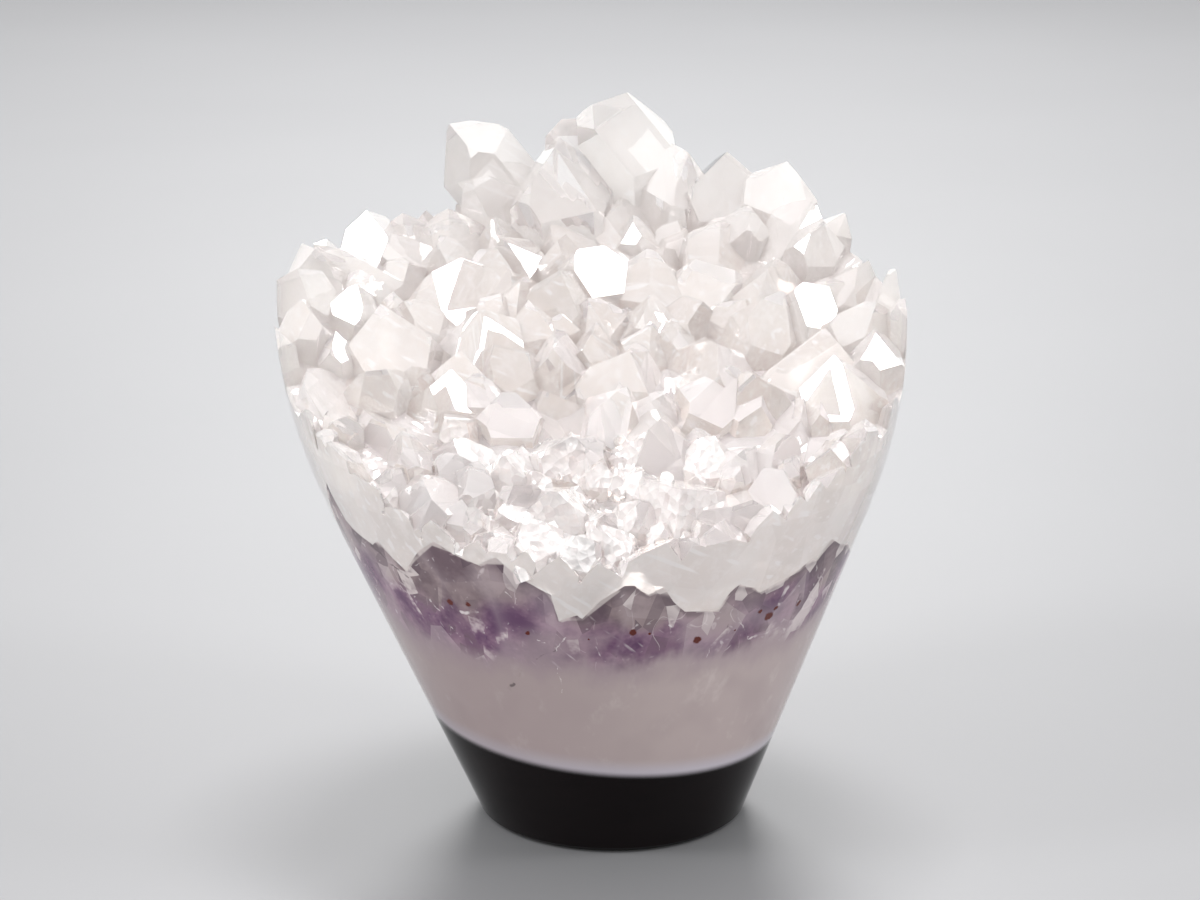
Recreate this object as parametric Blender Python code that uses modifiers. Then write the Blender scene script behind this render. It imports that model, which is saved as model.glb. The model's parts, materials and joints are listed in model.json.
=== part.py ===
"""A flower amethyst cluster: a piece of geode lining ground to a polished round cone, its quartz druse left raw.

The stone is one solid, made the way the lapidary makes it: a block of lining, whose sloping top bristles with
quartz crystals, is ground round by a leaning cone. Lengths are metres. +Z is up, the origin is the middle of the
foot, and the druse slopes down towards -Y, the front.
"""

import math
import random

import bmesh
import bpy
from mathutils import Matrix, Vector

MM = 0.001

# Ground cone
FOOT_RADIUS = 18 * MM
TAPER = 0.417  # growth of the radius with height, where the wall is straight
STRAIGHT_HEIGHT = 45 * MM  # the wall is straight up to here
UPRIGHT_HEIGHT = 71 * MM  # and has bent upright by here
CONE_HEIGHT = 115 * MM  # clear above the highest crystal
FOOT_BEVEL = 0.8 * MM
CONE_STEPS = 96
BEND_STEPS = 5
AXIS_LEAN = -0.042  # sideways run of the cone's axis over its height
SHARP = math.radians(30)  # edges of the cone bent more than this stay sharp

# Bed that the crystals stand on: a sloping plane, lined with quartz that thickens towards the two sides
PLANE_HEIGHT = 59 * MM  # above the middle of the foot
PLANE_SLOPE = 0.45  # rise over run, towards +Y
LINING_THICKNESS = 1.2 * MM
VALLEY = 3.2  # the bed rises over the plane by this times the square of the distance to the sides, in metres
CREST = 27 * MM  # the bed is level behind this y
HOLLOW = Vector((-30 * MM, 36 * MM))  # middle of the low place at the back left
HOLLOW_DEPTH = 4.5 * MM
HOLLOW_REACH = 11 * MM
BED_HALF_SIDE = 56 * MM
BED_CELLS = 16
BED_LUMP = 0.7 * MM

# Crystals
PYRAMID_SLOPE = math.radians(51.8)  # between quartz's end faces and the plane across its axis
ROOT = 9 * MM  # how far a crystal's prism runs down into the bed
PRISM_SPREAD = 0.16  # a side face's distance from the axis varies by this share
PYRAMID_SPREAD = 0.3  # a lesser end face stands off the tip by up to this share of the width
LEADING_FACES = ((0, 2, 4), (1, 3, 5), (0, 3), (1, 4), (2, 5))  # end faces that meet in the tip, or in a ridge
DRUSE_RADIUS = 45 * MM  # the block's crystals stand this far out, and the cone trims the outer ones
FAN = 5.5  # lean of the filling crystals away from the axis, in radians per metre
WOBBLE = math.radians(24)  # random lean of the filling crystals
CROWDING = 0.3  # least distance between two crystals, as a share of their widths' sum
FRONT_MARGIN = -14 * MM  # in front of this y the filling crystals are smaller
MARGIN_SHARE = 0.72
SEED = 8

# The crystals that stand out, as x, y, width and height of the tip over the plane in mm, then the lean to +X and
# to -Y and the turn about the axis in degrees
LEADING_CRYSTALS = (
    # Back crest
    (2, 40, 13, 17.5, -3, 18, 12),
    (-12.5, 37, 10.5, 17.5, -38, 8, 0),
    (-7, 33, 14, 14.5, -4, 18, 0),
    (-6, 37, 8, 14.5, 3, 6, 20),
    (8, 35, 10, 12, 10, 14, 10),
    (15.5, 35, 13, 11.5, 4, 14, 25),
    (23.5, 33, 12, 12, 16, 8, 5),
    (31, 27, 11, 9.5, 20, 8, 40),
    (-14.5, 34, 9.5, 11.5, -26, 0, 15),
    (-23, 27, 11, 8, 0, 10, 33),
    (-29, 28, 8, 6.5, -5, 6, 10),
    (-33, 26, 11, 8.5, -10, 10, 50),
    # Left side
    (-35, 17, 15, 9.5, -22, 10, 20),
    (-30, 1, 13, 12.5, -4, 12, 0),
    (-38, -8, 14, 9, -16, 18, 35),
    (-29, -13, 12, 8, -10, 32, 8),
    (-22, 15, 11, 8, -8, 12, 45),
    (-18, 4.5, 14, 9.5, -8, 26, 22),
    # Middle
    (-6.5, 13.5, 12, 9, -5, 20, 6),
    (-3, 17, 9, 9, 4, 6, 30),
    (5, 9.5, 9, 7.5, 2, 10, 0),
    (-7, 0.5, 9, 8, -6, 14, 18),
    (1.5, -1.5, 12, 8.5, 5, 24, 50),
    (-7.5, -7, 10, 6.5, -12, 24, 12),
    (5.5, -14, 13, 9, 4, 30, 28),
    (13.5, 1, 13, 9, 2, 38, 0),
    # Right side
    (18.5, 27, 8, 8.5, 5, 12, 2),
    (21, 16, 14, 8.5, 8, 18, 15),
    (32, 16, 15, 8.5, 20, 14, 38),
    (27, -1, 18, 11, 6, 18, 10),
    (23, -11, 10, 6.5, 15, 26, 26),
    (21, -23.5, 10, 7, 15, 34, 5),
    # Front margin
    (8.5, -25, 13, 9, 0, 40, 20),
    (15, -26, 10, 7.5, 12, 42, 44),
    (-7, -24, 9, 7, -3, 40, 30),
    (-13, -18, 9, 6.5, -10, 32, 16),
    (-19.5, -15.5, 9, 6.5, -12, 28, 3),
)
# The crystals that fill the gaps between them, as width in mm and how many places are tried
FILLING_PASSES = ((9.5, 150), (8, 300), (6.5, 500), (5, 700))

STONE_COLOUR = (0.86, 0.82, 0.81, 1)


def clear_scene():
    for leftover in list(bpy.data.objects):
        bpy.data.objects.remove(leftover)


def new_collection(name):
    collection = bpy.data.collections.new(name)
    bpy.context.scene.collection.children.link(collection)
    return collection


def object_from(name, form, collection):
    mesh = bpy.data.meshes.new(name)
    form.to_mesh(mesh)
    form.free()
    made = bpy.data.objects.new(name, mesh)
    collection.objects.link(made)
    return made


def plane_height(x, y):
    return PLANE_HEIGHT + PLANE_SLOPE * y


def bed_rise(x, y):
    """How far the bed is above the plane."""
    behind = PLANE_SLOPE * max(y - CREST, 0)
    far = (Vector((x, y)) - HOLLOW).length / HOLLOW_REACH
    return LINING_THICKNESS + VALLEY * x * x - behind - HOLLOW_DEPTH * math.exp(-far * far / 2)


def wall_radius(height):
    """Radius of the ground cone: a straight taper that bends upright along a parabola."""
    bent = min(max(height - STRAIGHT_HEIGHT, 0), UPRIGHT_HEIGHT - STRAIGHT_HEIGHT)
    straight = min(height, STRAIGHT_HEIGHT)
    bend = TAPER * bent * (1 - bent / (2 * (UPRIGHT_HEIGHT - STRAIGHT_HEIGHT)))
    return FOOT_RADIUS + TAPER * straight + bend


def wall_profile():
    """Outline of half the cone, from the middle of its top down its side to the middle of its foot."""
    bend = UPRIGHT_HEIGHT - STRAIGHT_HEIGHT
    heights = [CONE_HEIGHT]
    heights += [UPRIGHT_HEIGHT - bend * step / BEND_STEPS for step in range(BEND_STEPS + 1)]
    heights += [FOOT_BEVEL]
    outline = [(0, CONE_HEIGHT)]
    outline += [(wall_radius(height), height) for height in heights]
    outline += [(FOOT_RADIUS - FOOT_BEVEL, 0), (0, 0)]
    return outline


def make_stone(collection):
    """The ground cone, still whole: the finished stone is what it shares with the block of lining."""
    form = bmesh.new()
    points = [form.verts.new((radius, 0, height)) for radius, height in wall_profile()]
    for upper, lower in zip(points, points[1:]):
        form.edges.new((upper, lower))
    stone = object_from("amethyst_cluster", form, collection)
    turned = stone.modifiers.new("turn", "SCREW")
    turned.steps = turned.render_steps = CONE_STEPS
    turned.use_merge_vertices = True
    turned.merge_threshold = 0.01 * MM
    turned.use_smooth_shade = False
    return stone


def apply_modifiers(target):
    graph = bpy.context.evaluated_depsgraph_get()
    mesh = bpy.data.meshes.new_from_object(target.evaluated_get(graph))
    target.modifiers.clear()
    target.data = mesh


def lean_stone(stone):
    """Makes the cone's axis lean, with its foot still level."""
    lean = Matrix.Identity(4)
    lean[0][2] = AXIS_LEAN
    stone.data.transform(lean)
    stone.data.shade_smooth()
    stone.data.set_sharp_from_angle(angle=SHARP)


def shells_of(form):
    """The closed surfaces that a mesh is made of, as sets of vertices."""
    left = set(form.verts)
    shells = []
    while left:
        shell = {left.pop()}
        newest = list(shell)
        while newest:
            vert = newest.pop()
            near = {edge.other_vert(vert) for edge in vert.link_edges} - shell
            shell |= near
            newest += near
        left -= shell
        shells.append(shell)
    return shells


def keep_outer_shell(target):
    """Fills the pockets that leaning crystals close off, and drops any splinter that the cone cuts loose."""
    form = bmesh.new()
    form.from_mesh(target.data)
    shells = shells_of(form)
    outer = max(shells, key=len)
    for shell in shells:
        if shell is not outer:
            bmesh.ops.delete(form, geom=list(shell), context="VERTS")
    form.to_mesh(target.data)
    form.free()


def cut(form, point, normal):
    """Takes off what lies outside a plane, and closes the cut with one flat face."""
    whole = form.verts[:] + form.edges[:] + form.faces[:]
    made = bmesh.ops.bisect_plane(form, geom=whole, plane_co=point, plane_no=normal, clear_outer=True)
    edges = [piece for piece in made["geom_cut"] if isinstance(piece, bmesh.types.BMEdge)]
    if edges:
        bmesh.ops.edgeloop_fill(form, edges=edges)


def make_crystal(x, y, width, tip, right, front, turn, rng, collection):
    """A six-sided prism cut by six end faces, standing on the bed with its root in the stone."""
    form = bmesh.new()
    top = tip + width
    bmesh.ops.create_cube(form, size=1)
    bmesh.ops.scale(form, verts=form.verts, vec=(2 * width, 2 * width, top + ROOT))
    bmesh.ops.translate(form, verts=form.verts, vec=(0, 0, (top - ROOT) / 2))
    for side in range(6):
        angle = math.radians(60 * side)
        out = Vector((math.cos(angle), math.sin(angle), 0))
        cut(form, out * width / 2 * (1 + rng.uniform(-PRISM_SPREAD, PRISM_SPREAD)), out)
    leading = rng.choice(LEADING_FACES)
    for side in range(6):
        angle = math.radians(60 * side)
        flat = math.sin(PYRAMID_SLOPE)
        out = Vector((flat * math.cos(angle), flat * math.sin(angle), math.cos(PYRAMID_SLOPE)))
        off = 0 if side in leading else width * PYRAMID_SPREAD * rng.random()
        cut(form, Vector((0, 0, tip)) + out * off, out)
    axis = Vector((math.tan(right), -math.tan(front), 1))
    stand = Matrix.Translation((x, y, plane_height(x, y))) @ axis.to_track_quat("Z", "Y").to_matrix().to_4x4()
    bmesh.ops.transform(form, matrix=stand @ Matrix.Rotation(turn, 4, "Z"), verts=form.verts)
    return object_from("crystal", form, collection)


def make_leading_crystals(rng, collection):
    for x, y, width, tip, right, front, turn in LEADING_CRYSTALS:
        leans = [math.radians(angle) for angle in (right, front, turn)]
        make_crystal(x * MM, y * MM, width * MM, tip * MM, *leans, rng, collection)


def make_filling_crystals(rng, collection):
    """Smaller crystals in the places that are still free, the larger ones first."""
    taken = [(x * MM, y * MM, width * MM) for x, y, width, *_ in LEADING_CRYSTALS]
    for nominal, tries in FILLING_PASSES:
        for _ in range(tries):
            far = DRUSE_RADIUS * math.sqrt(rng.random())
            angle = rng.uniform(0, math.tau)
            x, y = far * math.cos(angle), far * math.sin(angle)
            width = nominal * MM * rng.uniform(0.9, 1.15) * (MARGIN_SHARE if y < FRONT_MARGIN else 1)
            if any(math.hypot(x - a, y - b) < CROWDING * (width + other) for a, b, other in taken):
                continue
            taken.append((x, y, width))
            right = FAN * x + rng.uniform(-WOBBLE, WOBBLE)
            front = math.atan(PLANE_SLOPE) * 0.6 - FAN * y + rng.uniform(-WOBBLE, WOBBLE)
            tip = bed_rise(x, y) + width * rng.uniform(0.35, 0.55) + rng.uniform(2, 3) * MM
            make_crystal(x, y, width, tip, right, front, rng.uniform(0, math.tau), rng, collection)


def make_lining(rng, collection):
    """Block of geode lining: its top is the crystals' sloping, lumpy bed."""
    form = bmesh.new()
    bmesh.ops.create_grid(form, x_segments=BED_CELLS, y_segments=BED_CELLS, size=BED_HALF_SIDE)
    for vert in form.verts:
        x, y, _ = vert.co
        vert.co.z = plane_height(x, y) + bed_rise(x, y) + rng.uniform(-BED_LUMP, BED_LUMP)
    raised = bmesh.ops.extrude_face_region(form, geom=form.faces[:])
    for piece in raised["geom"]:
        if isinstance(piece, bmesh.types.BMVert):
            piece.co.z = -BED_HALF_SIDE
    bmesh.ops.recalc_face_normals(form, faces=form.faces)
    return object_from("lining", form, collection)


def hide(collection):
    for helper in collection.objects:
        helper.hide_render = True
        helper.display_type = "WIRE"


def combine(target, operation, operand):
    modifier = target.modifiers.new(operation.lower(), "BOOLEAN")
    modifier.operation = operation
    modifier.solver = "EXACT"
    modifier.use_self = True  # the crystals cross one another many times over
    if isinstance(operand, bpy.types.Collection):
        modifier.operand_type = "COLLECTION"
        modifier.collection = operand
    else:
        modifier.object = operand


def stone_material():
    material = bpy.data.materials.new("quartz")
    material.use_nodes = True
    shader = material.node_tree.nodes["Principled BSDF"]
    shader.inputs["Base Color"].default_value = STONE_COLOUR
    shader.inputs["Roughness"].default_value = 0.15
    shader.inputs["Metallic"].default_value = 0
    return material


def main():
    clear_scene()
    rng = random.Random(SEED)
    parts = new_collection("flower_amethyst_cluster")
    cutters = new_collection("cutters")
    crystals = new_collection("crystals")
    stone = make_stone(parts)
    apply_modifiers(stone)
    lean_stone(stone)
    lining = make_lining(rng, cutters)
    make_leading_crystals(rng, crystals)
    make_filling_crystals(rng, crystals)
    combine(lining, "UNION", crystals)
    combine(stone, "INTERSECT", lining)
    apply_modifiers(stone)
    keep_outer_shell(stone)
    hide(cutters)
    hide(crystals)
    stone.data.materials.append(stone_material())


main()
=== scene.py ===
"""Looks of the flower amethyst cluster: a polished cone of banded amethyst and quartz under a raw druse."""

import json
import math
import random

import bmesh
import bpy
from mathutils import Matrix, Vector

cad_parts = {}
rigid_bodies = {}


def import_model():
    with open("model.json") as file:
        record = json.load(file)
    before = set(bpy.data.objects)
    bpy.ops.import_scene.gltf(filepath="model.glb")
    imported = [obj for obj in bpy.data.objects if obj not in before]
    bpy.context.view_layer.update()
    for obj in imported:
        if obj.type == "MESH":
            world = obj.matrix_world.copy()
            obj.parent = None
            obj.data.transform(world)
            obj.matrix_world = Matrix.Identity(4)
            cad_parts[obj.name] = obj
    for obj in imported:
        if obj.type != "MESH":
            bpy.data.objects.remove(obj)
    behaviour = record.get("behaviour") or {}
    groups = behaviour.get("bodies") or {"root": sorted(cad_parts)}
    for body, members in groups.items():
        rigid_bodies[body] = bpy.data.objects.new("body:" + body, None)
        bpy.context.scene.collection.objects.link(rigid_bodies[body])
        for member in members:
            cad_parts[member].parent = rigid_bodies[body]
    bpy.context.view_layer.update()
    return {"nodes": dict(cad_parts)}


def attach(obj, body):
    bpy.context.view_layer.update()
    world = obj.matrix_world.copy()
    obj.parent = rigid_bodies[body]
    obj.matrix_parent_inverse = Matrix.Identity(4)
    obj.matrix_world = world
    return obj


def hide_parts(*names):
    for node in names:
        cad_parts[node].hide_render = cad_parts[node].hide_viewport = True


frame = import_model()

MM = 0.001
SEED = 21

# Ground wall, as in the solid
FOOT_RADIUS = 18 * MM
TAPER = 0.417
STRAIGHT_HEIGHT = 45 * MM
UPRIGHT_HEIGHT = 71 * MM
AXIS_LEAN = -0.042

# A face whose corners all lie this near the wall is polished
ON_WALL = 0.12 * MM

# Sloping bed that the druse grows from, as in the solid
BED_HEIGHT = 59 * MM
BED_SLOPE = 0.45

# Quartz tips are six faces at this slope to the crystal's base
PYRAMID_SLOPE = math.radians(51.8)

# Top of the dark agate, at the middle of the foot and per millimetre to the right and to the back
AGATE_HEIGHT = 13.9 * MM
AGATE_TILT = (-0.088, 0.035)

# Heights over the agate's top between which the dark fades into the milky quartz
AGATE_FADE = (-0.3 * MM, 0.9 * MM)

# Up to here the milky quartz has no amethyst in it
MILKY_TOP = 24 * MM

# Over that the wall is split into level strips, so that the depth under the zigzag is stored closely enough
STRIP_HEIGHT = 1.5 * MM
STRIP_COUNT = 18

# Where the amethyst begins, in the same way as the agate's top
PURPLE_HEIGHT = 33.0 * MM
PURPLE_TILT = (0.0, 0.05)

# Zigzag in front, where the wall cuts the amethyst's crystals: degrees round to the right, height in mm
FRONT_ZIGZAG = (
    (-64, 51.5), (-62, 46.5), (-53, 44.5), (-50, 45.5), (-44, 42), (-42, 43.5), (-33, 48), (-24, 45.5),
    (-20, 47), (-10, 42), (-9, 38), (-5, 39), (-4, 38.5), (5, 43.5), (7, 43.5), (10, 42), (13, 43),
    (18, 39), (26, 38.5), (28, 41), (30, 42), (34, 41), (36, 40), (45, 41.5), (50, 43), (52, 42.5),
    (55, 45), (67, 42), (78, 39),
)
# Round the sides and back the zigzag goes on about a plane that rises a little to the back
ZIGZAG_HEIGHT = 43.5 * MM
ZIGZAG_RISE = 0.06

# Iron-stained specks in the amethyst: degrees, height and width in mm
SPECKS = (
    (-34.3, 38.8, 1.1), (-29.6, 39, 0.9), (6.8, 36.4, 1.1), (10.6, 36, 0.5), (21.9, 34.3, 1.2),
    (37.5, 36.9, 0.6), (40.6, 35.8, 1.4), (42.5, 36.8, 0.7), (50.6, 36.3, 0.8), (31.6, 34.8, 0.4),
    (-2.8, 35.3, 0.35), (-16.6, 35.7, 0.7),
)

# Fractures in front: degrees and height of both ends, width in mm
PALE_FRACTURES = (
    (-40.7, 38.6, -34.7, 33.3, 0.35), (-27.7, 38.7, -27.7, 33.8, 0.3), (-20.1, 42.4, -17.5, 39.9, 0.35),
    (-10.6, 33.8, -14.5, 34.8, 0.3), (-10.6, 33.8, -7.5, 35.8, 0.3), (-10.6, 33.8, -11, 26.4, 0.2),
    (9, 37.1, 11.6, 38.4, 0.25), (-1.9, 34.4, 0.5, 31.9, 0.3), (14.8, 37.2, 16.5, 36.1, 0.4),
    (25, 31.1, 27, 34.1, 0.25), (44, 39.6, 42.5, 36.2, 1.3), (36.8, 32.8, 45.4, 33.5, 0.7),
    (51.9, 42.3, 59.9, 32.2, 0.45), (29.4, 38.8, 36.5, 32.7, 0.35), (-42.3, 43.1, -32.5, 46, 0.3),
    (-31.9, 37.6, -27.6, 38.1, 0.8),
)
DARK_FRACTURES = (
    (-53.7, 44.5, -44.7, 41, 0.8), (-10.7, 33.4, -15.9, 31.9, 0.35), (40.2, 41.3, 49.8, 42.7, 0.45),
    (-25.5, 26.2, -23.5, 27.4, 0.9), (-21.5, 28.6, -20.4, 29.6, 0.4), (13.5, 42.8, 17.5, 39.3, 0.3),
)

# The amethyst layer's block: its reach, its base, how far its upper edge goes out from the wall and in, and
# where its inner ring lies, as a share of the wall's radius
LAYER_REACH = 60 * MM
LAYER_BASE = -10 * MM
LAYER_EDGE = (10 * MM, -7 * MM)
LAYER_INNER = 0.45

# In front of this the druse is broken, up to a height over the bed
FRONT_MARGIN = -14 * MM
BROKEN_RISE = 5 * MM

# Smallest crystals: places tried, and widths in mm as least, most and usual
SMALL_CRYSTAL_TRIES = 2600
SMALL_WIDTHS = (1.2, 3.6, 1.8)
FRONT_SMALL_WIDTHS = (0.8, 2.6, 1.3)

# They crowd the crevices, between these heights over the bed, and keep inside the wall and under the top
CREVICE_DEPTH = -9 * MM
CREVICE_RISE = 1.5 * MM
FRONT_CREVICE_RISE = 2.5 * CREVICE_RISE
INSIDE_WALL = 0.4 * MM
SMALL_CRYSTAL_TOP = 88 * MM

# The body inside the quartz stays this far from the wall, and from the foot
INNER_GAP = 0.2 * MM
INNER_FOOT_GAP = 0.3 * MM

QUARTZ_IOR = 1.544

# The camera's place in metres, its pitch downwards, and its lens in mm
CAMERA_PLACE = (-0.00175, -0.4172, 0.1686)
CAMERA_PITCH = math.radians(15.74)
CAMERA_LENS = 96.3
SENSOR_WIDTH = 36


def wall_radius(height):
    """The wall is straight up to a height and then curves until it is upright."""
    bend = UPRIGHT_HEIGHT - STRAIGHT_HEIGHT
    bent = min(max(height - STRAIGHT_HEIGHT, 0), bend)
    return FOOT_RADIUS + TAPER * (min(height, STRAIGHT_HEIGHT) + bent * (1 - bent / (2 * bend)))


def on_wall(angle, height, out=0.0):
    """The point at an angle round to the right of the front, a distance out from the wall."""
    reach = wall_radius(height) + out
    return Vector((AXIS_LEAN * height + reach * math.sin(angle), -reach * math.cos(angle), height))


def wall_place(point):
    """A point's angle round the leaning axis and its distance out from the wall."""
    x = point.x - AXIS_LEAN * point.z
    return math.atan2(x, -point.y), math.hypot(x, point.y) - wall_radius(point.z)


def above_bed(point):
    """Height over the sloping bed."""
    return point.z - BED_HEIGHT - BED_SLOPE * point.y


def link(name, data):
    made = bpy.data.objects.new(name, data)
    bpy.context.scene.collection.objects.link(made)
    return made


def mesh_from(name, form):
    """A mesh of a form, which is then freed."""
    mesh = bpy.data.meshes.new(name)
    form.to_mesh(mesh)
    form.free()
    return mesh


def combine(target, operation, operand):
    """Applies an exact Boolean with one object, or with all the objects of a collection."""
    modifier = target.modifiers.new(operation.lower(), "BOOLEAN")
    modifier.operation = operation
    modifier.solver = "EXACT"
    modifier.use_self = True
    if isinstance(operand, bpy.types.Collection):
        modifier.operand_type = "COLLECTION"
        modifier.collection = operand
    else:
        modifier.object = operand
        modifier.material_mode = "TRANSFER"
    graph = bpy.context.evaluated_depsgraph_get()
    mesh = bpy.data.meshes.new_from_object(target.evaluated_get(graph))
    target.modifiers.clear()
    target.data = mesh


def cut(form, point, normal):
    """Takes off what lies beyond a plane, and closes the cut with a face."""
    whole = form.verts[:] + form.edges[:] + form.faces[:]
    made = bmesh.ops.bisect_plane(form, geom=whole, plane_co=point, plane_no=normal, clear_outer=True)
    edges = [piece for piece in made["geom_cut"] if isinstance(piece, bmesh.types.BMEdge)]
    if edges:
        bmesh.ops.edgeloop_fill(form, edges=edges)


def crystal_mesh(tip, axis, width, length, rng):
    """A six-sided prism with six end faces, some of them small, with its tip at a point."""
    form = bmesh.new()
    bmesh.ops.create_cube(form, size=1)
    bmesh.ops.scale(form, verts=form.verts, vec=(2 * width, 2 * width, width + length))
    bmesh.ops.translate(form, verts=form.verts, vec=(0, 0, (width - length) / 2))
    for side in range(6):
        angle = math.radians(60 * side)
        out = Vector((math.cos(angle), math.sin(angle), 0))
        cut(form, out * width / 2 * rng.uniform(0.8, 1.15), out)
    leading = rng.choice(((0, 2, 4), (1, 3, 5), (0, 3), (1, 4), (2, 5)))
    for side in range(6):
        angle = math.radians(60 * side)
        across = math.sin(PYRAMID_SLOPE)
        out = Vector((across * math.cos(angle), across * math.sin(angle), math.cos(PYRAMID_SLOPE)))
        cut(form, out * (0 if side in leading else width * 0.3 * rng.random()), out)
    stand = Matrix.Translation(tip) @ axis.to_track_quat("Z", "Y").to_matrix().to_4x4()
    turn = Matrix.Rotation(rng.random() * math.tau, 4, "Z")
    bmesh.ops.transform(form, matrix=stand @ turn, verts=form.verts)
    return mesh_from("crystal", form)


def whole_stone(name):
    """A copy of the solid whose flat faces are single polygons."""
    form = bmesh.new()
    form.from_mesh(frame["nodes"]["amethyst_cluster"].data)
    bmesh.ops.remove_doubles(form, verts=form.verts, dist=0.002 * MM)
    bmesh.ops.dissolve_limit(form, angle_limit=math.radians(0.3), verts=form.verts, edges=form.edges)
    return link(name, mesh_from(name, form))


def grow_small_crystals(stone):
    """Joins on the smallest crystals, which sit in the crevices and thickest along the broken front."""
    rng = random.Random(SEED)
    form = bmesh.new()
    form.from_mesh(stone.data)
    bmesh.ops.triangulate(form, faces=form.faces)
    raw = [face for face in form.faces if wall_place(face.calc_center_median())[1] < -INSIDE_WALL]
    raw = [face for face in raw if above_bed(face.calc_center_median()) > CREVICE_DEPTH]
    crystals = bpy.data.collections.new("small_crystals")
    taken = []
    for face in rng.choices(raw, [face.calc_area() for face in raw], k=SMALL_CRYSTAL_TRIES):
        near, far = sorted((rng.random(), rng.random()))
        first, second, third = (vert.co for vert in face.verts)
        point = first * near + second * (far - near) + third * (1 - far)
        front = point.y < FRONT_MARGIN
        width = rng.triangular(*(FRONT_SMALL_WIDTHS if front else SMALL_WIDTHS)) * MM
        fan = Vector((point.x / 0.06, point.y / 0.06 - 0.25, 1)).normalized()
        sway = Vector((rng.uniform(-1, 1), rng.uniform(-1, 1), rng.uniform(-1, 1)))
        axis = (face.normal * 0.7 + fan * 0.6 + sway * 0.35).normalized()
        height = width * rng.uniform(0.4, 1.0)
        tip = point + axis * height
        if above_bed(point) > (FRONT_CREVICE_RISE if front else CREVICE_RISE):
            continue
        if wall_place(tip)[1] > -0.7 * width or tip.z > SMALL_CRYSTAL_TOP:
            continue
        if any((tip - other).length < 0.6 * (width + wide) for other, wide in taken):
            continue
        taken.append((tip, width))
        mesh = crystal_mesh(tip, axis, width, height + width, rng)
        crystals.objects.link(bpy.data.objects.new("small_crystal", mesh))
    form.free()
    combine(stone, "UNION", crystals)
    for crystal in list(crystals.objects):
        bpy.data.objects.remove(crystal)


def zigzag_corners():
    """Corners of the amethyst's upper edge all round the wall, as angles in radians and heights."""
    rng = random.Random(SEED)
    corners = [(math.radians(angle), height * MM) for angle, height in FRONT_ZIGZAG]
    angle = corners[-1][0]
    last = corners[0][0] + math.tau - math.radians(8)
    up = True
    while True:
        angle += math.radians(rng.uniform(4, 9) if up else rng.uniform(2.5, 8))
        if angle > last:
            return corners
        height = ZIGZAG_HEIGHT - ZIGZAG_RISE * wall_radius(ZIGZAG_HEIGHT) * math.cos(angle)
        height += rng.uniform(1, 4.5) * MM if up else -rng.uniform(0, 3.5) * MM
        corners.append((angle, height))
        up = not up


def zigzag_height(corners, angle):
    """Height of the zigzag at an angle, straight between its corners."""
    if angle < corners[0][0]:
        angle += math.tau
    wrapped = corners + [(corners[0][0] + math.tau, corners[0][1])]
    for (left, low), (right, high) in zip(wrapped, wrapped[1:]):
        if angle <= right:
            return low + (high - low) * (angle - left) / (right - left)
    return wrapped[-1][1]


def make_amethyst_layer(corners):
    """All that lies under the clear quartz: a block wider than the stone, whose top is ridges and tips."""
    rng = random.Random(SEED + 1)
    form = bmesh.new()
    base = []
    for angle, _ in corners:
        place = (LAYER_REACH * math.sin(angle), -LAYER_REACH * math.cos(angle), LAYER_BASE)
        base.append(form.verts.new(place))
    rings = [base]
    for out in LAYER_EDGE:
        rings.append([form.verts.new(on_wall(angle, height, out)) for angle, height in corners])
    inner = []
    for angle, height in corners:
        point = on_wall(angle, height) * LAYER_INNER
        inner.append(form.verts.new((point.x, point.y, height + rng.uniform(-5, 3) * MM)))
    rings.append(inner)
    peak = form.verts.new((0, 0, ZIGZAG_HEIGHT))
    count = len(corners)
    for index in range(count):
        after = (index + 1) % count
        for lower, upper in zip(rings, rings[1:]):
            form.faces.new((lower[index], lower[after], upper[after]))
            form.faces.new((lower[index], upper[after], upper[index]))
        form.faces.new((inner[index], inner[after], peak))
    form.faces.new(rings[0])
    bmesh.ops.recalc_face_normals(form, faces=form.faces)
    return link("amethyst_layer", mesh_from("amethyst_layer", form))


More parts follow.
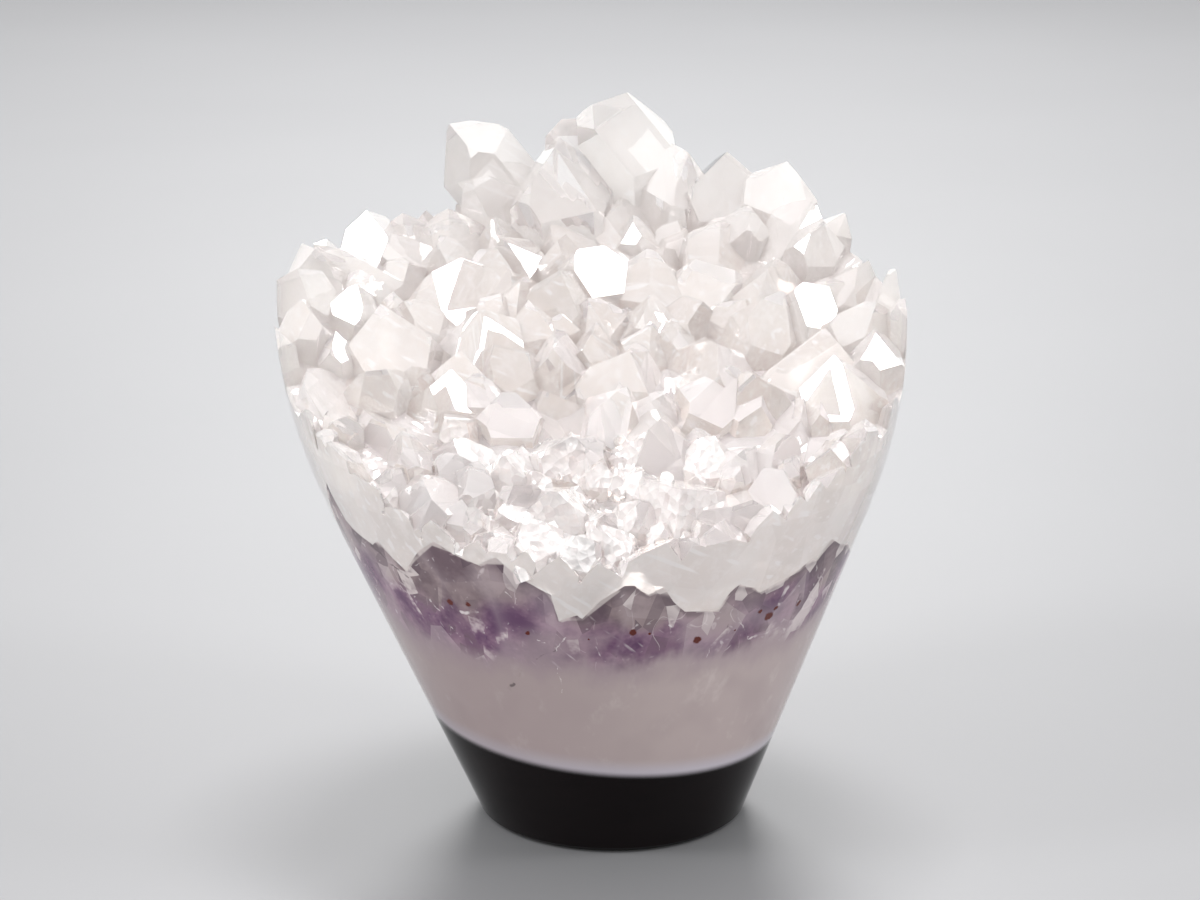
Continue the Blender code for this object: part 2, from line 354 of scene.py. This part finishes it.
class Nodes:
    """Short ways to add and join shader nodes."""

    def __init__(self, material):
        material.use_nodes = True
        self.tree = material.node_tree
        self.shader = self.tree.nodes["Principled BSDF"]
        self.place = self.add("ShaderNodeTexCoord").outputs["Object"]

    def add(self, kind, **settings):
        node = self.tree.nodes.new(kind)
        for key, value in settings.items():
            setattr(node, key, value)
        return node

    def put(self, socket, value):
        if isinstance(value, bpy.types.NodeSocket):
            self.tree.links.new(value, socket)
        else:
            socket.default_value = value

    def math(self, operation, a, b=0.0, clamp=False):
        node = self.add("ShaderNodeMath", operation=operation, use_clamp=clamp)
        self.put(node.inputs[0], a)
        self.put(node.inputs[1], b)
        return node.outputs[0]

    def vector(self, operation, a, b=(0, 0, 0), scale=None):
        node = self.add("ShaderNodeVectorMath", operation=operation)
        self.put(node.inputs[0], a)
        self.put(node.inputs[1], b)
        if scale is not None:
            self.put(node.inputs["Scale"], scale)
        return node.outputs["Value" if operation in ("DISTANCE", "DOT_PRODUCT") else "Vector"]

    def noise(self, scale, detail=3.0, rough=0.5, place=None, output="Fac"):
        node = self.add("ShaderNodeTexNoise")
        self.put(node.inputs["Vector"], place or self.place)
        node.inputs["Scale"].default_value = scale
        node.inputs["Detail"].default_value = detail
        node.inputs["Roughness"].default_value = rough
        return node.outputs[output]

    def cells(self, scale, place=None):
        node = self.add("ShaderNodeTexVoronoi")
        self.put(node.inputs["Vector"], place or self.place)
        node.inputs["Scale"].default_value = scale
        return node.outputs

    def wander(self, amount, scale):
        """The place moved about by noise, for lines that aren't straight."""
        shift = self.vector("SUBTRACT", self.noise(scale, 3, 0.6, output="Color"), (0.5, 0.5, 0.5))
        return self.vector("ADD", self.place, self.vector("SCALE", shift, scale=amount))

    def stretch(self, place, scale):
        return self.vector("MULTIPLY", place, scale)

    def streaks(self, direction, scale, low, high):
        """One on short thin streaks along a direction."""
        direction = Vector(direction).normalized()
        along = self.vector("DOT_PRODUCT", self.place, tuple(direction))
        drawn = self.vector("SCALE", tuple(direction), scale=self.math("MULTIPLY", along, -0.88))
        drawn = self.vector("ADD", self.place, drawn)
        return self.ramp(self.noise(scale, 1, place=drawn), low, high)

    def ramp(self, value, low, high, to_low=0.0, to_high=1.0):
        node = self.add("ShaderNodeMapRange", interpolation_type="SMOOTHSTEP")
        for socket, number in zip(node.inputs, (value, low, high, to_low, to_high)):
            self.put(socket, number)
        return node.outputs[0]

    def product(self, *values):
        result = values[0]
        for value in values[1:]:
            result = self.math("MULTIPLY", result, value)
        return result

    def swing(self, value, amount):
        """A value of 0 to 1 made one of as much under zero as over it."""
        return self.math("MULTIPLY", self.math("SUBTRACT", value, 0.5), amount)

    def plane(self, height, tilt_x, tilt_y):
        """Height over a tilted plane."""
        x, y, z = self.split(self.place)
        level = self.math("SUBTRACT", z, height)
        level = self.math("SUBTRACT", level, self.math("MULTIPLY", x, tilt_x))
        return self.math("SUBTRACT", level, self.math("MULTIPLY", y, tilt_y))

    def mix(self, factor, a, b):
        node = self.add("ShaderNodeMix", data_type="RGBA")
        self.put(node.inputs["Factor"], factor)
        self.put(node.inputs[6], a)
        self.put(node.inputs[7], b)
        return node.outputs[2]

    def split(self, value):
        node = self.add("ShaderNodeSeparateXYZ")
        self.put(node.inputs[0], value)
        return node.outputs

    def random(self, cell_colour):
        node = self.add("ShaderNodeSeparateColor")
        self.put(node.inputs[0], cell_colour)
        return node.outputs[0]

    def attribute(self, name):
        return self.add("ShaderNodeAttribute", attribute_name=name).outputs["Fac"]

    def segment(self, place, start, end, width):
        """One on a line between two points, fading to nothing at half the width from it."""
        along = end - start
        offset = self.vector("SUBTRACT", place, tuple(start))
        share = self.vector("DOT_PRODUCT", offset, tuple(along / along.length_squared))
        share = self.math("MULTIPLY", share, 1.0, clamp=True)
        foot = self.vector("SCALE", tuple(along), scale=share)
        return self.ramp(self.vector("DISTANCE", offset, foot), 0.15 * width, 0.5 * width, 1.0, 0.0)

    def bump(self, height, distance, strength=1.0, normal=None):
        node = self.add("ShaderNodeBump")
        node.inputs["Strength"].default_value = strength
        node.inputs["Distance"].default_value = distance
        self.put(node.inputs["Height"], height)
        if normal is not None:
            self.put(node.inputs["Normal"], normal)
        return node.outputs[0]


def colour(red, green, blue):
    """Linear colour of an sRGB one in 0 to 255."""
    def linear(channel):
        channel /= 255
        return channel / 12.92 if channel <= 0.04045 else ((channel + 0.055) / 1.055) ** 2.4
    return (linear(red), linear(green), linear(blue), 1)


CLOUD_WHITE = colour(255, 254, 253)


def fractures(n, table, place):
    """Where any fracture of a table runs."""
    total = None
    for first, low, last, high, width in table:
        ends = on_wall(math.radians(first), low * MM), on_wall(math.radians(last), high * MM)
        line = n.segment(place, *ends, 0.7 * width * MM)
        total = line if total is None else n.math("MAXIMUM", total, line)
    return total


def specks(n):
    """Where the specks are: those seen in front, and others scattered round the sides and back."""
    rng = random.Random(SEED + 2)
    table = list(SPECKS)
    for _ in range(16):
        table.append((rng.uniform(85, 285), rng.uniform(35, 41), rng.uniform(0.3, 1.3)))
    place = n.wander(0.9 * MM, 900)
    total = None
    for angle, height, width in table:
        centre = on_wall(math.radians(angle), height * MM)
        distance = n.vector("DISTANCE", place, tuple(centre))
        spot = n.ramp(distance, 0.35 * width * MM, 0.6 * width * MM, 1.0, 0.0)
        total = spot if total is None else n.math("MAXIMUM", total, spot)
    return total


def milky_colours(n):
    """The light line over the agate, then milky quartz with faint wisps, with painted shade greying it
    towards the left.
    """
    level = n.plane(AGATE_HEIGHT, *AGATE_TILT)
    milky = n.mix(n.noise(45, 3, 0.6), colour(172, 156, 157), colour(196, 181, 178))
    wisps = n.ramp(n.noise(260, 4, 0.65, n.stretch(n.wander(3 * MM, 120), (1, 1, 0.5))), 0.55, 0.75)
    milky = n.mix(n.math("MULTIPLY", wisps, 0.35), milky, colour(216, 205, 202))
    shade = n.ramp(n.noise(90, 2, 0.6), 0.5, 0.75)
    milky = n.mix(n.math("MULTIPLY", shade, 0.25), milky, colour(146, 129, 133))
    milky = n.mix(n.ramp(level, 0.6 * MM, 3.2 * MM, 0.9, 0.0), milky, colour(196, 190, 200))
    # Painted shade: the milky quartz darkens towards the left side
    left = n.ramp(n.split(n.place)[0], 8 * MM, -18 * MM, 0.0, 0.45)
    milky = n.mix(left, milky, colour(128, 112, 114))
    return n.mix(n.ramp(level, *AGATE_FADE), colour(11, 6, 7), milky)


def polish(n):
    """The finish of the ground wall, the same in all its colours."""
    n.shader.inputs["Roughness"].default_value = 0.09
    n.shader.inputs["IOR"].default_value = QUARTZ_IOR
    n.put(n.shader.inputs["Normal"], n.bump(n.noise(500, 1), 0.02 * MM, 0.25))


def agate_material():
    """The dark agate of the foot, with faint level bands."""
    material = bpy.data.materials.new("dark_agate")
    n = Nodes(material)
    bands = n.noise(160, 3, 0.6, n.stretch(n.place, (1, 1, 4)))
    n.put(n.shader.inputs["Base Color"], n.mix(bands, colour(6, 3, 4), colour(16, 9, 10)))
    polish(n)
    n.shader.inputs["Specular IOR Level"].default_value = 0.15
    return material


def milky_material():
    """The milky quartz between the agate and the amethyst."""
    material = bpy.data.materials.new("milky_band")
    n = Nodes(material)
    n.put(n.shader.inputs["Base Color"], milky_colours(n))
    polish(n)
    return material


def amethyst_colours(n, rise):
    """Violet at the amethyst's foot, smoky towards the tips, in planes like the crystals' own."""
    haze = n.noise(150, 4, 0.65)
    violet = n.mix(n.ramp(haze, 0.35, 0.65), colour(90, 56, 90), colour(152, 120, 140))
    smoky = n.mix(n.ramp(haze, 0.35, 0.65), colour(104, 86, 92), colour(150, 132, 134))
    planes = n.stretch(n.place, (1, 1, 0.5))
    large = n.cells(140, planes)
    chance = n.random(large["Color"])
    patch = n.math("ADD", n.swing(n.noise(75, 2, 0.6), 18 * MM), n.swing(chance, 3 * MM))
    tone = n.mix(n.ramp(n.math("ADD", rise, patch), 4.5 * MM, 10 * MM), violet, smoky)
    small = n.random(n.cells(420, planes)["Color"])
    tone = n.mix(n.ramp(chance, 0.6, 0.95, 0, 0.3), tone, colour(206, 192, 194))
    tone = n.mix(n.ramp(chance, 0.4, 0.05, 0, 0.35), tone, colour(90, 68, 84))
    # Painted glassy shading: each large cell is lighter towards its edges
    tone = n.mix(n.ramp(large["Distance"], 0.45, 0.75, 0, 0.3), tone, colour(196, 182, 186))
    busy = n.ramp(haze, 0.46, 0.58)
    busy = n.math("MAXIMUM", busy, n.ramp(n.attribute("under"), 5, 1.5))
    tone = n.mix(n.product(n.ramp(small, 0.75, 0.9), busy, 0.65), tone, colour(228, 218, 216))
    tone = n.mix(n.product(n.ramp(small, 0.35, 0.1), busy, 0.6), tone, colour(80, 62, 74))
    # Healed fractures run where a stretched noise passes through its middle
    healed = n.noise(190, 1, place=n.stretch(n.place, (1, 1, 0.45)))
    healed = n.math("ABSOLUTE", n.math("SUBTRACT", healed, 0.5))
    healed = n.product(n.ramp(healed, 0.006, 0.001), n.ramp(haze, 0.5, 0.56), 0.45)
    return n.mix(healed, tone, colour(226, 214, 216))


def wall_material():
    """The polished wall from the milky quartz up through the amethyst to the clear quartz."""
    material = bpy.data.materials.new("banded_wall")
    n = Nodes(material)
    lower = milky_colours(n)
    rise = n.plane(PURPLE_HEIGHT, *PURPLE_TILT)
    ragged = n.swing(n.noise(120, 4, 0.65, n.stretch(n.place, (1, 1, 0.45))), 9 * MM)
    ragged = n.math("ADD", rise, ragged)
    begun = n.ramp(ragged, -1.6 * MM, 1.8 * MM)
    mist = n.ramp(ragged, -5 * MM, 0.0)
    body = n.mix(n.math("MULTIPLY", mist, 0.35), lower, colour(138, 116, 134))
    thin = n.ramp(n.noise(85, 2), 0.36, 0.5, 0.5, 1.0)
    thin = n.math("MAXIMUM", thin, n.ramp(rise, 2 * MM, 6 * MM))
    body = n.mix(n.math("MULTIPLY", begun, thin), body, amethyst_colours(n, rise))
    # Flakes and fractures seen in front
    near = n.ramp(rise, -2 * MM, 2 * MM)
    jitter = n.wander(1.3 * MM, 500)
    broken = n.ramp(n.noise(600, 2), 0.4, 0.6, 0.1, 1.0)
    body = n.mix(n.product(fractures(n, DARK_FRACTURES, jitter), broken, 0.7), body, colour(72, 60, 64))
    body = n.mix(n.product(fractures(n, PALE_FRACTURES, jitter), broken, 0.7), body, colour(232, 224, 224))
    # The crystals' edge under the clear quartz: a painted highlight line along it, over a painted shadow
    # just under it
    under = n.attribute("under")
    patchy = n.noise(300, 2)
    shadow = n.product(n.ramp(under, 1.3, 0.4), n.ramp(patchy, 0.4, 0.6), 0.5)
    body = n.mix(shadow, body, colour(92, 78, 84))
    painted_edge_highlight = n.product(n.ramp(under, 0.45, 0.15), n.ramp(patchy, 0.6, 0.45), 0.6)
    body = n.mix(painted_edge_highlight, body, colour(222, 212, 208))
    flakes = n.product(n.streaks((0.6, 0.4, 0.75), 1300, 0.67, 0.8), n.ramp(patchy, 0.45, 0.58))
    others = n.product(n.streaks((-0.65, -0.3, 0.6), 1300, 0.67, 0.8), n.ramp(patchy, 0.55, 0.42))
    flakes = n.product(n.math("MAXIMUM", flakes, others), near, 0.6)
    body = n.mix(flakes, body, colour(226, 216, 218))
    body = n.mix(specks(n), body, colour(88, 24, 12))
    n.put(n.shader.inputs["Base Color"], body)
    polish(n)
    return material


def quartz_material(name, crevice_shade_and_cream, tip, reach, clearness, roughness, finish="raw"):
    """Cloudy quartz, raw, chipped or polished, with one colour at the bottom of its reach over the bed, in
    mm, and another at the top; the bottom one is painted crevice shade on raw and chipped quartz, and
    polished quartz's own cream."""
    material = bpy.data.materials.new(name)
    n = Nodes(material)
    rise = n.plane(BED_HEIGHT, 0, BED_SLOPE)
    cloud = n.noise(120, 3, 0.6)
    # Painted shade: raw and chipped quartz is darker low over the bed, in the crevices; polished quartz is
    # its own cream there
    tone = n.mix(n.ramp(rise, *(height * MM for height in reach)), crevice_shade_and_cream, tip)
    tone = n.mix(n.ramp(cloud, 0.4, 0.75, 0, 0.5), tone, CLOUD_WHITE)
    if finish == "polished":
        columns = n.cells(130, n.stretch(n.place, (1, 1, 0.7)))
        chance = n.random(columns["Color"])
        tone = n.mix(n.ramp(chance, 0.3, 1.0, 0, 0.25), tone, colour(206, 194, 188))
        tone = n.mix(n.ramp(columns["Distance"], 0.5, 0.9, 0, 0.25), tone, colour(250, 246, 243))
        tone = n.mix(n.ramp(n.noise(500, 4, 0.7), 0.46, 0.66, 0, 0.5), tone, colour(255, 253, 251))
        tone = n.mix(n.streaks((-0.7, -0.3, 0.4), 900, 0.6, 0.72), tone, CLOUD_WHITE)
    else:
        tone = n.mix(n.ramp(n.attribute("facet"), 0.4, 1.0, 0, 0.6), tone, crevice_shade_and_cream)
    if finish == "chipped":
        chips = n.cells(750, n.wander(1 * MM, 400))
        chance = n.random(chips["Color"])
        tone = n.mix(n.ramp(chance, 0.5, 1.0, 0, 0.5), tone, colour(214, 206, 204))
        tone = n.mix(n.ramp(chance, 0.4, 0.0, 0, 0.9), tone, CLOUD_WHITE)
    flakes = n.product(n.streaks((0.6, 0.4, 0.6), 1000, 0.6, 0.78), n.ramp(cloud, 0.42, 0.55, 0.15, 0.7))
    tone = n.mix(flakes, tone, CLOUD_WHITE)
    n.put(n.shader.inputs["Base Color"], tone)
    n.put(n.shader.inputs["Roughness"], n.ramp(cloud, 0.4, 0.7, roughness * 0.6, roughness * 2))
    n.shader.inputs["IOR"].default_value = QUARTZ_IOR
    n.shader.inputs["Coat Weight"].default_value = 1.0
    n.shader.inputs["Coat Roughness"].default_value = 0.04
    n.shader.inputs["Coat IOR"].default_value = QUARTZ_IOR
    n.shader.inputs["Transmission Weight"].default_value = clearness
    normal = n.bump(n.noise(600, 1), 0.04 * MM, 0.3)
    if finish == "chipped":
        normal = n.bump(chips["Distance"], 0.5 * MM, 0.6, normal)
    n.put(n.shader.inputs["Normal"], normal)
    n.put(n.shader.inputs["Coat Normal"], normal)
    absorb = n.add("ShaderNodeVolumeAbsorption")
    absorb.inputs["Color"].default_value = (0.95, 0.92, 0.91, 1)
    absorb.inputs["Density"].default_value = 6
    n.put(n.tree.nodes["Material Output"].inputs["Volume"], absorb.outputs[0])
    return material


def amethyst_material():
    """The amethyst crystals seen inside the clear quartz."""
    material = bpy.data.materials.new("amethyst")
    n = Nodes(material)
    tone = n.mix(n.noise(180, 3, 0.6), colour(226, 217, 220), colour(246, 242, 242))
    n.put(n.shader.inputs["Base Color"], tone)
    n.shader.inputs["Roughness"].default_value = 0.2
    return material


# Slots of the stone's materials
DRUSE, BROKEN, POLISHED, AGATE, MILKY, BANDED = range(6)


def stone_materials():
    """The finishes, in the order of their slots."""
    return (
        quartz_material(
            "milky_quartz", colour(236, 231, 230), colour(254, 253, 252), reach=(-3, 13),
            clearness=0.75, roughness=0.05),
        quartz_material(
            "broken_quartz", colour(244, 239, 237), CLOUD_WHITE, reach=(-3, 3),
            clearness=0.6, roughness=0.06, finish="chipped"),
        quartz_material(
            "polished_quartz", colour(226, 207, 192), colour(248, 243, 239), reach=(-15, -3),
            clearness=0.4, roughness=0.1, finish="polished"),
        agate_material(),
        milky_material(),
        wall_material(),
    )


def outer_faces(half, banded):
    """The half's faces but for the split's, with each face's finish chosen by where it is."""
    rng = random.Random(SEED + 4)
    form = bmesh.new()
    form.from_mesh(half.data)
    names = [material.name for material in half.data.materials]
    split = [face for face in form.faces if names[face.material_index] == "split"]
    bmesh.ops.delete(form, geom=split, context="FACES")
    for face in form.faces:
        middle = face.calc_center_median()
        if banded:
            face.material_index = BANDED
        elif all(abs(wall_place(vert.co)[1]) < ON_WALL for vert in face.verts):
            face.material_index = POLISHED
        elif middle.y < FRONT_MARGIN + rng.uniform(-7, 3) * MM and above_bed(middle) < BROKEN_RISE:
            face.material_index = BROKEN
        else:
            face.material_index = DRUSE
    return mesh_from("half", form)


def drop_crumbs(form):
    """Leaves only the largest body of joined faces."""
    left = set(form.faces)
    bodies = []
    while left:
        body = {left.pop()}
        frontier = list(body)
        while frontier:
            face = frontier.pop()
            for other in {other for edge in face.edges for other in edge.link_faces} & left:
                left.remove(other)
                body.add(other)
                frontier.append(other)
        bodies.append(body)
    crumbs = [face for body in sorted(bodies, key=len)[:-1] for face in body]
    bmesh.ops.delete(form, geom=crumbs, context="FACES")
    loose = [edge for edge in form.edges if not edge.link_faces]
    bmesh.ops.delete(form, geom=loose, context="EDGES")


def draw_in(form):
    """Moves a body's wall and foot a little inwards, so that it lies inside the stone."""
    for vert in form.verts:
        middle = Vector((AXIS_LEAN * vert.co.z, 0, vert.co.z))
        out = vert.co - middle
        if wall_radius(vert.co.z) - out.length < 0.75 * INNER_GAP:
            vert.co = middle + out * (1 - INNER_GAP / out.length)
        vert.co.z = max(vert.co.z, INNER_FOOT_GAP)


def mark_depths(form, corners):
    """Splits the wall by its bands, then stores each point's depth under the zigzag, in mm, and a
    random number for each face."""
    rng = random.Random(SEED + 3)
    agate_top = Vector((0, 0, AGATE_HEIGHT + AGATE_FADE[0]))
    agate_up = Vector((-AGATE_TILT[0], -AGATE_TILT[1], 1)).normalized()
    planes = [(agate_top, agate_up)]
    planes += [((0, 0, MILKY_TOP + STRIP_HEIGHT * step), (0, 0, 1)) for step in range(STRIP_COUNT)]
    for point, up in planes:
        band = [face for face in form.faces if face.material_index == BANDED]
        geometry = list({vert for face in band for vert in face.verts})
        geometry += list({edge for face in band for edge in face.edges})
        bmesh.ops.bisect_plane(form, geom=geometry + band, plane_co=point, plane_no=up)
    for face in form.faces:
        middle = face.calc_center_median()
        if face.material_index != BANDED or middle.z > MILKY_TOP:
            continue
        face.material_index = AGATE if (middle - agate_top).dot(agate_up) < 0 else MILKY
    under = form.verts.layers.float.new("under")
    for vert in form.verts:
        vert[under] = (zigzag_height(corners, wall_place(vert.co)[0]) - vert.co.z) / MM
    facet = form.faces.layers.float.new("facet")
    for face in form.faces:
        face[facet] = rng.random()


def part_stone(corners):
    """The stone with its smallest crystals, and parted by the zigzag into quartz and amethyst."""
    layer = make_amethyst_layer(corners)
    layer.data.materials.append(bpy.data.materials.new("split"))
    upper = whole_stone("quartz_cluster")
    upper.data.materials.clear()
    upper.data.materials.append(bpy.data.materials.new("outside"))
    grow_small_crystals(upper)
    lower = link("amethyst_crystals", upper.data.copy())
    combine(upper, "DIFFERENCE", layer)
    combine(lower, "INTERSECT", layer)
    bpy.data.objects.remove(layer)
    return upper, lower


def make_surface(stone, lower, corners):
    """Gives the stone the outer faces of both halves, joined in one closed surface, with their finishes."""
    joined = bmesh.new()
    joined.from_mesh(outer_faces(stone, False))
    joined.from_mesh(outer_faces(lower, True))
    bmesh.ops.remove_doubles(joined, verts=joined.verts, dist=0.004 * MM)
    drop_crumbs(joined)
    mark_depths(joined, corners)
    stone.data.materials.clear()
    for material in stone_materials():
        stone.data.materials.append(material)
    joined.to_mesh(stone.data)
    joined.free()
    stone.data.shade_smooth()
    stone.data.set_sharp_from_angle(angle=math.radians(8))


def make_inside(lower):
    """Makes the lower half the amethyst that is seen inside the quartz."""
    form = bmesh.new()
    form.from_mesh(lower.data)
    draw_in(form)
    form.to_mesh(lower.data)
    form.free()
    lower.data.materials.clear()
    lower.data.materials.append(amethyst_material())


def make_stone():
    corners = zigzag_corners()
    stone, inner = part_stone(corners)
    make_surface(stone, inner, corners)
    make_inside(inner)
    return stone, inner


def make_stage():
    """A plain pale floor, and a pale studio round it."""
    form = bmesh.new()
    bmesh.ops.create_grid(form, x_segments=1, y_segments=1, size=1.5)
    floor = link("floor", mesh_from("floor", form))
    material = bpy.data.materials.new("floor")
    n = Nodes(material)
    tone = n.mix(n.noise(8, 2), (0.15, 0.15, 0.155, 1), (0.163, 0.163, 0.168, 1))
    n.put(n.shader.inputs["Base Color"], tone)
    n.shader.inputs["Roughness"].default_value = 0.6
    floor.data.materials.append(material)
    world = bpy.data.worlds.new("studio")
    world.use_nodes = True
    world.node_tree.nodes["Background"].inputs["Color"].default_value = (0.995, 1, 1, 1)
    world.node_tree.nodes["Background"].inputs["Strength"].default_value = 1.1
    bpy.context.scene.world = world


def softbox(name, place, size, power):
    """A rectangular light at a place in metres, turned towards the middle of the stone."""
    aim = Vector((0, 0, 0.05))
    light = bpy.data.lights.new(name, "AREA")
    light.shape = "RECTANGLE"
    light.size, light.size_y = size
    light.energy = power
    made = link(name, light)
    made.location = place
    made.rotation_euler = (aim - Vector(place)).to_track_quat("-Z", "Y").to_euler()


def make_lights():
    softbox("over", (0.05, 0.20, 1.05), (0.32, 0.26), 9.5)
    softbox("left", (-0.72, -0.30, 0.68), (0.22, 0.34), 4.5)
    softbox("right", (0.72, -0.20, 0.68), (0.22, 0.34), 3.5)
    softbox("behind", (0, 0.84, 0.50), (0.40, 0.28), 6)
    softbox("front", (-0.40, -0.80, 0.80), (1.6, 1.0), 6)


def make_camera():
    camera = bpy.data.cameras.new("camera")
    camera.sensor_width = SENSOR_WIDTH
    camera.lens = CAMERA_LENS
    made = link("camera", camera)
    made.location = CAMERA_PLACE
    made.rotation_euler = (math.radians(90) - CAMERA_PITCH, 0, 0)
    bpy.context.scene.camera = made


bpy.context.scene.view_settings.view_transform = "Standard"
make_camera()
make_stage()
make_lights()
stone, inner = make_stone()
for piece in (stone, inner):
    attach(piece, "root")
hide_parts("amethyst_cluster")
